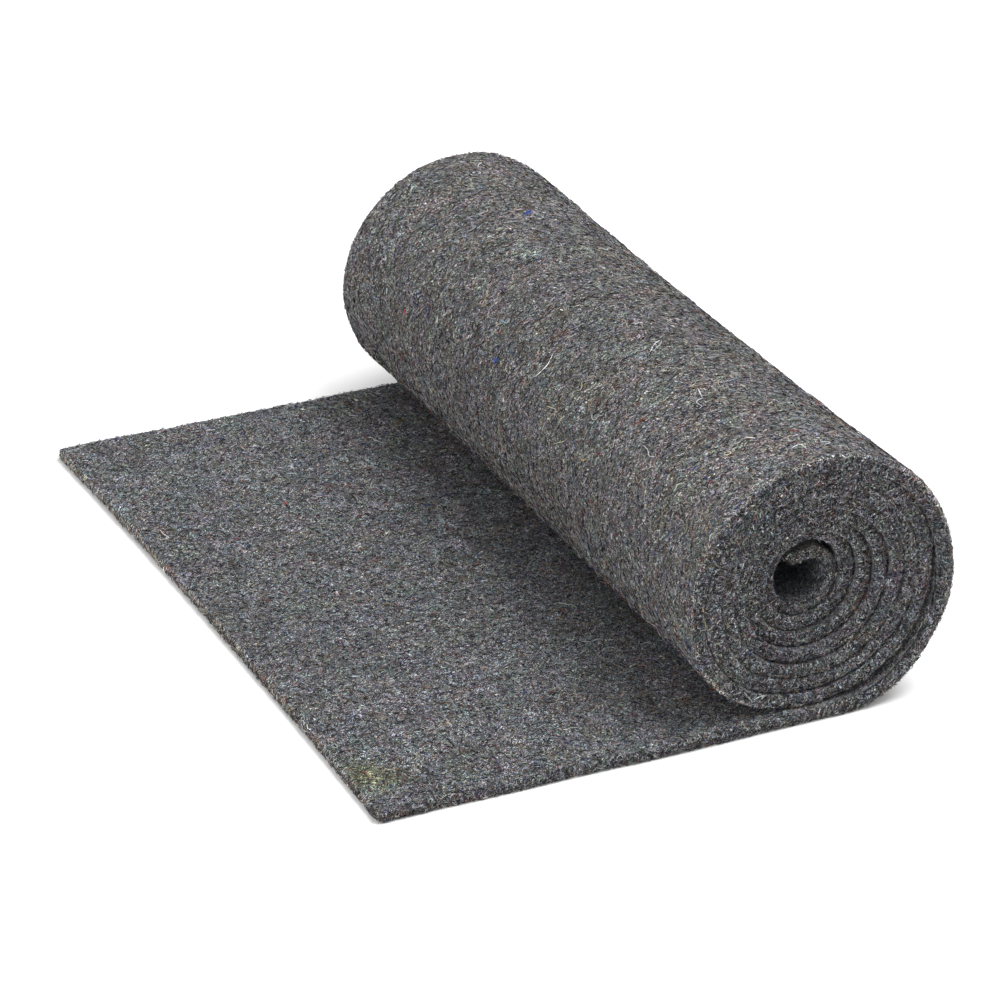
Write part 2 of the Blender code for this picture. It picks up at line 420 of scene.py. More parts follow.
# Felt's colours, as linear light
CHARCOAL = (0.004, 0.005, 0.006)
SHADOW_GREY = (0.014, 0.015, 0.017)
MID_GREY = (0.070, 0.071, 0.074)
PALE_GREY = (0.33, 0.33, 0.34)
COOL_GREY = (0.25, 0.32, 0.40)
WARM_GREY = (0.40, 0.32, 0.27)
PLUM_GREY = (0.092, 0.064, 0.085)
SLATE_BLUE = (0.020, 0.036, 0.125)
TEAL = (0.016, 0.080, 0.080)
BROWN = (0.150, 0.068, 0.030)
RUST = (0.240, 0.050, 0.018)
MAUVE = (0.110, 0.045, 0.105)
OLIVE = (0.100, 0.105, 0.025)
CREAM = (0.46, 0.42, 0.34)
WHITE = (0.62, 0.62, 0.60)
TAN = (0.34, 0.24, 0.15)
BLUE = (0.030, 0.070, 0.24)
SKY_BLUE = (0.20, 0.28, 0.38)
RED = (0.36, 0.040, 0.045)
YELLOW = (0.50, 0.36, 0.13)

# Values of the painted light attribute (painted light on the loose edge, painted shade deep in the core), and
# how much lighter a value of 1, the painted highlight on the near end's outer edge, and a cut edge make the
# felt
# painted light on the loose edge
LOOSE_EDGE_PAINTED_LIGHT = 1.15
# painted shade deep in the core
CORE_PAINTED_SHADE = -0.6
# how strongly the painted highlight, painted light and painted shade change the felt's lightness
PAINTED_LIGHT_STRENGTH = 0.8
CUT_LIGHT = 0.27
# How much of the broad unevenness and of the hues the cut edges lose
CUT_CALM = 0.45
CUT_GREYED = 0.27
# The lightest and darkest patches, and how light the middle of the width is
LIGHT_PATCHES = (0.284, 0.702)
MIDDLE_LIGHT = 0.87

# The sheet's two faces differ a little: the one on top of the tail is cooler than the one outside the roll
TAIL_TINT = (0.925, 0.993, 1.072)
ROLL_TINT = (0.908, 0.932, 0.950)
# bluish tint of the painted shade deep in the core
CORE_SHADE_TINT = (0.80, 1.02, 1.30)
# the loose edge's own brown, laid over its painted light
LOOSE_END_TINT = (0.66, 0.63, 0.575)
STAIN_TINT = (0.90, 1.03, 0.66)
STAIN_AT = (0.0085, -0.210, 0)   # in the sheet laid flat
CONTRAST = 1.18


class Shade(Nodes):
    """A new material's nodes, with the felt's own patterns."""

    def __init__(self, name):
        self.material = bpy.data.materials.new(name)
        self.material.use_nodes = True
        super().__init__(self.material.node_tree)
        self.shader = self.material.node_tree.nodes["Principled BSDF"]

    def read(self, name, out="Fac"):
        """The mesh's attribute of that name."""
        return self.add("ShaderNodeAttribute", out=out, attribute_name=name)

    def surface(self, inputs):
        """Sets the surface's own inputs, and returns the material."""
        for name, value in inputs.items():
            self.put(self.shader.inputs[name], value)
        return self.material

    def noise(self, vector, scale, detail=1.0, out="Fac", roughness=0.5):
        inputs = {"Vector": vector, "Scale": scale, "Detail": detail, "Roughness": roughness}
        return self.add("ShaderNodeTexNoise", inputs, out)

    def step(self, value, low, high):
        """0 below low and 1 above high, with a soft step between."""
        inputs = {"Value": value, "From Min": low, "From Max": high}
        return self.add("ShaderNodeMapRange", inputs, interpolation_type="SMOOTHSTEP")

    def mix(self, share, a, b):
        node = self.add("ShaderNodeMix", out=None, data_type="RGBA")
        self.put(node.inputs[0], share)
        for socket, value in ((node.inputs[6], a), (node.inputs[7], b)):
            self.put(socket, value if isinstance(value, bpy.types.NodeSocket) else (*value, 1))
        return node.outputs[2]


# Strands drawn on the sheet itself: direction in degrees, width and length in metres, share covered, colour
STRANDS = (
    (12, 0.00064, 0.0026, 0.47, SHADOW_GREY),
    (103, 0.00056, 0.0022, 0.46, PLUM_GREY),
    (58, 0.00060, 0.0026, 0.44, SLATE_BLUE),
    (152, 0.00054, 0.0024, 0.43, BROWN),
    (127, 0.00050, 0.0028, 0.45, COOL_GREY),
    (31, 0.00054, 0.0022, 0.48, CHARCOAL),
    (78, 0.00050, 0.0026, 0.44, WARM_GREY),
    (170, 0.00052, 0.0024, 0.47, CHARCOAL),
    (45, 0.00052, 0.0028, 0.41, WHITE),
)


def finished(shade, colour, laid_flat):
    """The colour with more contrast and an unevenness of 5 to 40 mm, and calmer on the cut edges. It also
    carries painted light
    and shade: a painted highlight on the near end's outer edge, painted light on the loose edge and painted
    shade in the core.
    """
    painted_light = shade.read("painted_light")
    cut = shade.read("cut")
    across, depth = shade.add("ShaderNodeSeparateXYZ", {0: laid_flat}, out=None).outputs[1:]

    # How light: patches, a darker middle, a painted highlight on the near end's outer edge, painted light on
    # the loose edge, painted shade deep in the core, and lighter cut edges
    patches = shade.noise(laid_flat, 60, 3, roughness=0.6)
    low, high = LIGHT_PATCHES
    reach = {"From Min": 0.25, "From Max": 0.75, "To Min": low, "To Max": high}
    light = shade.add("ShaderNodeMapRange", {"Value": patches, **reach})
    to_middle = shade.math("SUBTRACT", (low + high) / 2, light)
    light = shade.math("MULTIPLY_ADD", shade.times(cut, CUT_CALM), to_middle, light)
    from_middle = {"Value": shade.math("ABSOLUTE", across), "From Max": 0.18, "To Min": MIDDLE_LIGHT}
    light = shade.times(light, shade.add("ShaderNodeMapRange", from_middle))
    # painted highlight on the near end's outer edge, painted light on the loose edge, painted shade deep in
    # the core
    light = shade.times(light, shade.math("MULTIPLY_ADD", painted_light, PAINTED_LIGHT_STRENGTH, 1.0))
    light = shade.times(light, shade.math("MULTIPLY_ADD", cut, CUT_LIGHT, 1.0))

    # What hue: broad warm and cool patches, small flecks, the tint of each face, a stain, the bluish tint of
    # the painted shade deep in the core, and the loose edge's brown
    warmth = shade.noise(shade.vector("ADD", laid_flat, (3, 1, 2)), 45, 3, "Color", roughness=0.6)
    warmth = shade.vector("MULTIPLY_ADD", warmth, (0.5, 0.3, 0.5), (0.75, 0.85, 0.75))
    flecks = shade.noise(shade.vector("ADD", laid_flat, (5, 2, 4)), 380, 1, "Color")
    flecks = shade.vector("MULTIPLY_ADD", flecks, (0.8, 0.5, 0.8), (0.60, 0.75, 0.60))
    tint = shade.vector("MULTIPLY", warmth, flecks)
    face = shade.mix(shade.step(depth, -0.001, 0.001), TAIL_TINT, ROLL_TINT)
    off_stain = shade.vector("LENGTH", shade.vector("SUBTRACT", laid_flat, STAIN_AT))
    off_stain = shade.math("MULTIPLY_ADD", patches, 0.030, off_stain)
    face = shade.mix(shade.step(off_stain, 0.018, 0.048), STAIN_TINT, face)
    # painted shade: bluish deep in the core
    face = shade.mix(shade.step(painted_light, CORE_PAINTED_SHADE, 0.0), CORE_SHADE_TINT, face)
    # the loose edge's own brown; its extra lightness is painted light
    face = shade.mix(shade.step(painted_light, 1.0, 1.1), face, LOOSE_END_TINT)

    colour = shade.add("ShaderNodeGamma", {"Color": colour, "Gamma": CONTRAST})
    colour = shade.vector("MULTIPLY", colour, shade.scaled(shade.vector("MULTIPLY", tint, face), light))
    grey = shade.add("ShaderNodeRGBToBW", {"Color": colour})
    return shade.mix(shade.times(cut, CUT_GREYED), colour, grey)


def felt_material():
    """The sheet: tangled strands of mixed greys, drawn in the sheet as laid flat."""
    shade = Shade("felt")
    laid_flat = shade.read("laid_flat", "Vector")
    colour = shade.mix(shade.noise(laid_flat, 900, 2), CHARCOAL, MID_GREY)
    height = shade.noise(laid_flat, 700, 2)
    for number, (degrees, width, length, share, tone) in enumerate(STRANDS):
        apart = shade.vector("ADD", laid_flat, (0.31 * number, 0.17 * number, 0.23 * number))
        curl = shade.vector("SUBTRACT", shade.noise(apart, 420, 0, "Color"), (0.5, 0.5, 0.5))
        inputs = {
            "Vector": shade.vector("ADD", apart, shade.scaled(curl, 0.0036)),
            "Rotation": (0, 0, math.radians(degrees)),
            "Scale": (length, width, width),
        }
        drawn_out = shade.add("ShaderNodeMapping", inputs, vector_type="TEXTURE")
        field = shade.noise(drawn_out, 1.0, 0)
        strand = shade.step(field, 1 - share - 0.02, 1 - share + 0.05)
        varied = shade.math("MULTIPLY_ADD", shade.noise(drawn_out, 0.45, 0), 3.6, -0.68)
        colour = shade.mix(strand, colour, shade.scaled(tone, varied))
        lowered = shade.times(height, shade.math("MULTIPLY_ADD", strand, -0.3, 1))
        height = shade.math("ADD", lowered, shade.times(strand, 0.35))

    return shade.surface({
        "Base Color": finished(shade, colour, laid_flat),
        "Normal": shade.add("ShaderNodeBump", {"Height": height, "Strength": 0.8, "Distance": 0.0007}),
        "Roughness": 0.95,
        "Specular IOR Level": 0.2,
        "Sheen Weight": 0.15,
        "Sheen Roughness": 0.6,
    })


# Fibre colours: share of all fibres up to here, and the colour
FIBRE_TONES = (
    (0.00, CHARCOAL),
    (0.24, SHADOW_GREY),
    (0.32, MID_GREY),
    (0.42, PALE_GREY),
    (0.58, WHITE),
    (0.64, SLATE_BLUE),
    (0.73, BROWN),
    (0.82, MAUVE),
    (0.86, TEAL),
    (0.90, OLIVE),
    (0.93, CREAM),
    (0.955, RUST),
    (0.975, TAN),
    (0.985, SKY_BLUE),
    (0.990, BLUE),
    (0.995, RED),
)
HAIR_TONES = (
    (0.00, CREAM),
    (0.20, PALE_GREY),
    (0.40, WHITE),
    (0.56, TAN),
    (0.64, BROWN),
    (0.72, RUST),
    (0.76, SLATE_BLUE),
    (0.82, SKY_BLUE),
    (0.85, CHARCOAL),
    (0.93, OLIVE),
    (0.95, YELLOW),
    (0.965, BLUE),
    (0.985, RED),
)


def fibre_material(name, tones, brightness):
    """Fibres and hairs: each has its own colour, picked by the number it carries."""
    shade = Shade(name)
    ramp = shade.add("ShaderNodeValToRGB", {"Fac": shade.read("pick")}, out=None)
    ramp.color_ramp.interpolation = "CONSTANT"
    for i, (start, tone) in enumerate(tones):
        stop = ramp.color_ramp.elements[0] if i == 0 else ramp.color_ramp.elements.new(start)
        stop.position = start
        stop.color = (*tone, 1)
    ramp.color_ramp.elements.remove(ramp.color_ramp.elements[-1])
    colour = shade.scaled(ramp.outputs["Color"], shade.times(shade.read("light"), brightness))
    colour = finished(shade, colour, shade.read("laid_flat", "Vector"))
    return shade.surface({
        "Base Color": colour,
        "Roughness": 0.9,
        "Specular IOR Level": 0.2,
        "Sheen Weight": 0.1,
    })


def tree_with(name, inputs):
    """A Geometry Nodes tree, its helper and what its inputs give, from each input's name and kind."""
    tree = bpy.data.node_groups.new(name, "GeometryNodeTree")
    for label, kind in inputs.items():
        tree.interface.new_socket(label, in_out="INPUT", socket_type="NodeSocket" + kind)
    tree.interface.new_socket("Geometry", in_out="OUTPUT", socket_type="NodeSocketGeometry")
    nodes = Nodes(tree)
    return tree, nodes, nodes.add("NodeGroupInput", out=None).outputs


def random(nodes, low, high, seed, given):
    """A random number for each point. Given is the tree's own Seed input."""
    inputs = {2: low, 3: high, "Seed": nodes.math("ADD", given, float(seed))}
    return nodes.add("FunctionNodeRandomValue", inputs, 1, data_type="FLOAT")


def keep(nodes, geometry, kept):
    """Stores each value on the points under its name."""
    for name, value in kept.items():
        inputs = {"Geometry": geometry, "Name": name, "Value": value}
        kind = "FLOAT" if value.type == "VALUE" else "FLOAT_VECTOR"
        geometry = nodes.add("GeometryNodeStoreNamedAttribute", inputs, data_type=kind, domain="POINT")
    return geometry


def read(nodes, name, kind="FLOAT"):
    """The attribute of that name."""
    return nodes.add("GeometryNodeInputNamedAttribute", {"Name": name}, data_type=kind)


def scattered(nodes, given):
    """Points all over: as many to a square metre as Density, and the attribute that Where names, say."""
    density = nodes.times(read(nodes, given["Where"]), given["Density"])
    inputs = {"Mesh": given["Geometry"], "Density": density, "Seed": given["Seed"]}
    return nodes.add("GeometryNodeDistributePointsOnFaces", inputs, out=None).outputs


def turned_by(nodes, rotation, turn):
    inputs = {"Rotation": rotation, "Rotate By": turn}
    return nodes.add("FunctionNodeRotateRotation", inputs, rotation_space="LOCAL")


def fibre_tree():
    """Scatters short bent fibres over a surface: each is two three-sided points that meet at a bend."""
    tree, nodes, given = tree_with("short_fibres", {
        "Geometry": "Geometry", "Where": "String", "Density": "Float", "Length": "Float",
        "Thickness": "Float", "Tilt": "Float", "Stand off": "Float", "Seed": "Int",
        "Fibre": "Object", "Material": "Material",
    })
    seed = given["Seed"]
    points = scattered(nodes, given)

    spin = random(nodes, 0.0, 2 * math.pi, 1, seed)
    tilt = nodes.times(random(nodes, -1.0, 1.0, 2, seed), given["Tilt"])
    turned = turned_by(nodes, points["Rotation"], nodes.add("ShaderNodeCombineXYZ", {"Z": spin}))
    turned = turned_by(nodes, turned, nodes.add("ShaderNodeCombineXYZ", {"Y": tilt}))

    # The bend, off to one side and a little outwards
    length = nodes.times(given["Length"], random(nodes, 0.45, 1.55, 3, seed))
    aside = nodes.times(length, random(nodes, -0.32, 0.32, 4, seed))
    outwards = nodes.times(length, random(nodes, -0.02, 0.08, 5, seed))
    bend = nodes.add("ShaderNodeCombineXYZ", {"Y": aside, "Z": outwards})
    bend = nodes.add("FunctionNodeRotateVector", {"Vector": bend, "Rotation": turned})
    pick = random(nodes, 0.0, 1.0, 6, seed)
    light = random(nodes, 0.25, 2.10, 7, seed)
    thickness = nodes.times(given["Thickness"], random(nodes, 0.6, 1.4, 8, seed))
    lift = nodes.times(given["Stand off"], random(nodes, 0.0, 1.0, 9, seed))
    lifted = nodes.scaled(points["Normal"], lift)
    kept = keep(nodes, points["Points"], {"bend": bend, "pick": pick, "light": light, "lifted": lifted})

    fibre = nodes.add("GeometryNodeObjectInfo", {"Object": given["Fibre"]}, "Geometry")
    size = nodes.add("ShaderNodeCombineXYZ", {"X": length, "Y": thickness, "Z": thickness})
    onto = {"Points": kept, "Instance": fibre, "Rotation": turned, "Scale": size}
    placed = nodes.add("GeometryNodeInstanceOnPoints", onto)
    solid = nodes.add("GeometryNodeRealizeInstances", {"Geometry": placed})
    shift = nodes.scaled(read(nodes, "bend", "FLOAT_VECTOR"), read(nodes, "at_bend"))
    offset = nodes.vector("ADD", shift, read(nodes, "lifted", "FLOAT_VECTOR"))
    bent = nodes.add("GeometryNodeSetPosition", {"Geometry": solid, "Offset": offset})
    dressed = nodes.add("GeometryNodeSetMaterial", {"Geometry": bent, "Material": given["Material"]})
    nodes.add("NodeGroupOutput", {"Geometry": dressed}, out=None)
    return tree


def fibre_shape():
    """One straight fibre of unit length and width along X: a point at each end and a three-sided waist."""
    waist = [(0, math.cos(math.radians(d)) / 2, math.sin(math.radians(d)) / 2) for d in (90, 210, 330)]
    mesh = bpy.data.meshes.new("fibre_shape")
    faces = [(0, 1 + i, 1 + (i + 1) % 3) for i in range(3)] + [(4, 1 + (i + 1) % 3, 1 + i) for i in range(3)]
    mesh.from_pydata([(-0.5, 0, 0), *waist, (0.5, 0, 0)], [], faces)
    add_attribute(mesh, "at_bend", [0, 1, 1, 1, 0])
    return bpy.data.objects.new("fibre_shape", mesh)


def grown(name, surface, tree, inputs):
    """A plain mesh of what the tree makes on the surface, without the attributes that only the tree needs."""
    piece = put_in_scene(name, surface.data)
    modifier = piece.modifiers.new("grow", "NODES")
    modifier.node_group = tree
    sockets = {s.name: s.identifier for s in tree.interface.items_tree if s.in_out == "INPUT"}
    for label, value in inputs.items():
        modifier[sockets[label]] = value
    bpy.context.view_layer.update()
    evaluated = piece.evaluated_get(bpy.context.evaluated_depsgraph_get())
    mesh = bpy.data.meshes.new_from_object(evaluated)
    mesh.name = name
    piece.modifiers.remove(modifier)
    piece.data = mesh
    for attribute in [a.name for a in mesh.attributes if a.name in MASKS + WORKING]:
        mesh.attributes.remove(mesh.attributes[attribute])
    return piece


def fibre_map(mesh, vertices):
    """The map that the fibres' colours are baked into: a square for each, shared out among its faces."""
    count = len(mesh.vertices) // vertices
    slots = (len(mesh.loops) - 2 * len(mesh.polygons)) / 2 / count
    wide = slots if slots < 5 else math.ceil(math.sqrt(slots))
    high = math.ceil(slots / wide)
    corners, slot = [], 0.0
    for face in mesh.polygons[:len(mesh.polygons) // count]:
        square = [(0, 0), (1, 0), (1, 1), (0, 1)]
        if face.loop_total == 3:
            square = [(1, 1), (0, 1), (1, 0)] if slot % 1 else [(0, 0), (1, 0), (0, 1)]
        x, y = int(slot) % wide, int(slot) // wide
        corners += [((x + u) / wide, (y + v) / high) for u, v in square]
        slot += (face.loop_total - 2) / 2
    side = math.ceil(math.sqrt(count))
    cell = np.arange(count)
    cells = np.column_stack([cell % side, cell // side])
    uv = (cells[:, None] + 0.06 + 0.88 * np.array(corners)) / side
    mesh.uv_layers.new(name="OFBake").data.foreach_set("uv", uv.ravel())


def lift_off_floor(piece, vertices):
    """Moves each fibre of so many vertices up until no part of it is below the floor, and maps its faces."""
    place = np.empty(len(piece.data.vertices) * 3)
    piece.data.vertices.foreach_get("co", place)
    place = place.reshape(-1, vertices, 3)
    place[..., 2] += np.maximum(0.0001 - place[..., 2].min(axis=1), 0)[:, None]
    piece.data.vertices.foreach_set("co", place.ravel())
    fibre_map(piece.data, vertices)
    piece.data.update()


# Fibres of each piece: how many to a square metre, length, thickness, tilt, how far off the felt, seed
FIBRES = {
    "fibres_on_tail": (250000.0, 0.0048, 0.00042, math.radians(28), 0.0005, 11),
    "fibres_on_left": (210000.0, 0.0049, 0.00043, math.radians(17), 0.0004, 12),
    "fibres_on_right": (165000.0, 0.0049, 0.00043, math.radians(17), 0.0004, 13),
    "fibres_near_cuts": (1080000.0, 0.0038, 0.00037, math.radians(32), 0.0005, 14),
    "fibres_far_cuts": (400000.0, 0.0036, 0.00044, math.radians(25), 0.0004, 15),
}
FIBRE_INPUTS = ("Density", "Length", "Thickness", "Tilt", "Stand off", "Seed")
MASKS = (*FIBRES, "hairs")
WORKING = (
    "bend", "lifted", "at_bend", "root", "ahead", "aside", "upright",
    "turning", "waving", "phase", "reach", "girth", "OFBake",
)


def make_fibres(sheet):
    tree, shape = fibre_tree(), fibre_shape()
    material = fibre_material("felt_fibres", FIBRE_TONES, 1.0)
    pieces = []
    for name, values in FIBRES.items():
        inputs = dict(zip(FIBRE_INPUTS, values), Where=name, Fibre=shape, Material=material)
        pieces.append(grown(name, sheet, tree, inputs))
        lift_off_floor(pieces[-1], len(shape.data.vertices))
    bpy.data.objects.remove(shape)
    return pieces


def hair_tree():
    """Scatters long curled hairs: each is drawn step by step along the surface, with a heading of its own."""
    tree, nodes, given = tree_with("long_hairs", {
        "Geometry": "Geometry", "Where": "String", "Density": "Float", "Length": "Float",
        "Thickness": "Float", "Curl": "Float", "Stand off": "Float", "Hug": "Float",
        "Points": "Int", "Seed": "Int", "Material": "Material",
    })
    seed = given["Seed"]
    points = scattered(nodes, given)
    spin = nodes.add("ShaderNodeCombineXYZ", {"Z": random(nodes, 0.0, 2 * math.pi, 1, seed)})
    facing = turned_by(nodes, points["Rotation"], spin)
    ahead = nodes.add("FunctionNodeRotateVector", {"Vector": (1, 0, 0), "Rotation": facing})
    aside = nodes.add("FunctionNodeRotateVector", {"Vector": (0, 1, 0), "Rotation": facing})
    kept = keep(nodes, points["Points"], {
        "root": nodes.add("GeometryNodeInputPosition"),
        "ahead": ahead,
        "aside": aside,
        "upright": points["Normal"],
        "turning": nodes.times(given["Curl"], random(nodes, -1.0, 1.0, 2, seed)),
        "waving": nodes.times(given["Curl"], random(nodes, 0.1, 0.6, 3, seed)),
        "phase": random(nodes, 0.0, 2 * math.pi, 4, seed),
        "reach": nodes.times(given["Length"], random(nodes, 0.35, 1.65, 5, seed)),
        "girth": nodes.times(given["Thickness"], random(nodes, 0.6, 1.4, 6, seed)),
        "pick": random(nodes, 0.0, 1.0, 7, seed),
        "light": random(nodes, 0.5, 1.5, 8, seed),
    })

    line = nodes.add("GeometryNodeCurvePrimitiveLine", {"End": (0, 0, 0.001)})
    line = nodes.add("GeometryNodeResampleCurve", {"Curve": line, "Count": given["Points"]})
    placed = nodes.add("GeometryNodeInstanceOnPoints", {"Points": kept, "Instance": line})
    solid = nodes.add("GeometryNodeRealizeInstances", {"Geometry": placed})

    # The heading turns steadily and waves a little, and each step adds to the one before
    along = nodes.add("GeometryNodeSplineParameter", out="Factor")
    wave = nodes.math("SINE", nodes.math("MULTIPLY_ADD", along, 9.0, read(nodes, "phase")))
    turning = nodes.times(along, read(nodes, "turning"))
    heading = nodes.math("ADD", turning, nodes.times(wave, read(nodes, "waving")))
    forward = nodes.scaled(read(nodes, "ahead", "FLOAT_VECTOR"), nodes.math("COSINE", heading))
    sideways = nodes.scaled(read(nodes, "aside", "FLOAT_VECTOR"), nodes.math("SINE", heading))
    pace = nodes.math("DIVIDE", read(nodes, "reach"), nodes.math("SUBTRACT", given["Points"], 1.0))
    stride = nodes.scaled(nodes.vector("ADD", forward, sideways), pace)
    hair = nodes.add("GeometryNodeCurveOfPoint", out="Curve Index")
    steps = {"Group ID": hair, 0: stride}
    walked = nodes.add("GeometryNodeAccumulateField", steps, "Trailing", data_type="FLOAT_VECTOR")
    free = nodes.vector("ADD", read(nodes, "root", "FLOAT_VECTOR"), walked)

    # Most of the way back to the surface, in low arches
    sampled = {0: given["Geometry"], "Sample Position": free}
    nearest = nodes.add("GeometryNodeProximity", sampled, "Position", target_element="FACES")
    arches = nodes.math("SINE", nodes.math("MULTIPLY_ADD", along, 5.0, read(nodes, "phase")))
    lift = nodes.math("ABSOLUTE", nodes.times(arches, given["Stand off"]))
    lifted = nodes.scaled(read(nodes, "upright", "FLOAT_VECTOR"), lift)
    settled = {0: given["Hug"], 4: free, 5: nodes.vector("ADD", nearest, lifted)}
    settled = nodes.add("ShaderNodeMix", settled, 1, data_type="VECTOR")
    drawn = nodes.add("GeometryNodeSetPosition", {"Geometry": solid, "Position": settled})

    round_off = nodes.math("SQRT", nodes.times(along, nodes.math("SUBTRACT", 1.0, along)))
    radius = nodes.times(read(nodes, "girth"), nodes.math("ADD", round_off, 0.08))
    ring = nodes.add("GeometryNodeCurvePrimitiveCircle", {"Resolution": 3, "Radius": 1.0})
    swept = {"Curve": drawn, "Profile Curve": ring, "Scale": radius, "Fill Caps": True}
    tube = nodes.add("GeometryNodeCurveToMesh", swept)
    dressed = nodes.add("GeometryNodeSetMaterial", {"Geometry": tube, "Material": given["Material"]})
    nodes.add("NodeGroupOutput", {"Geometry": dressed}, out=None)
    return tree


HAIR_POINTS = 12


def make_hairs(sheet, material):
    """Stray hairs all over, most of them pale, some in strong colours."""
    hairs = grown("stray_hairs", sheet, hair_tree(), {
        "Where": "hairs",
        "Density": 2900.0,
        "Length": 0.012,
        "Thickness": 0.00042,
        "Curl": 2.6,
        "Stand off": 0.0011,
        "Hug": 0.8,
        "Points": HAIR_POINTS,
        "Seed": 21,
        "Material": material,
    })
    lift_off_floor(hairs, 3 * HAIR_POINTS)
    return hairs


# Where each tone of a hair that stands out lies on HAIR_TONES
STRAY_TONES = {
    "cream": 0.100, "pale": 0.300, "white": 0.480, "tan": 0.600, "brown": 0.680,
    "rust": 0.740, "sky": 0.835, "yellow": 0.957, "blue": 0.975, "red": 0.992,
}
STRAY_LIGHT = 1.95
